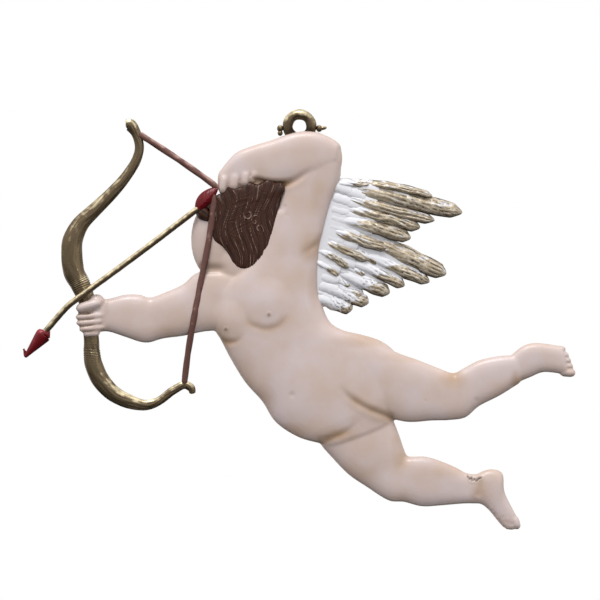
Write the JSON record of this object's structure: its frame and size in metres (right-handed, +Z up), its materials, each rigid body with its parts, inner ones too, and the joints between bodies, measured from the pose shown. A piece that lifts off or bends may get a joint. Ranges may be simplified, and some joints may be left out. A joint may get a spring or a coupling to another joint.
{
  "type": "hanging cupid ornament",
  "caption": "Flat two-sided relief casting of a flying winged cupid that draws a bow, hand painted, with a cast hanging eye on its raised arm.",
  "frame": {"origin": "inner top of the hanging eye, where a thread pulls", "axes": "+Z up as it hangs, +X along the length from the arrow's point to the feet, -Y out of the front face"},
  "size_m": [0.0996, 0.0053, 0.0759],
  "materials": {
    "flesh_paint": "satin flesh paint over cast tin alloy",
    "hair_paint": "satin brown paint with a lighter dry-brushed grain",
    "wing_paint": "white paint with gold dry-brushed feather ends",
    "antique_gold": "antique gold paint, worn dark in the hollows",
    "string_paint": "satin umber paint",
    "red_paint": "gloss red paint"
  },
  "bodies": {
    "root": {"cupid_ornament": "flesh_paint"}
  },
  "joints": []
}
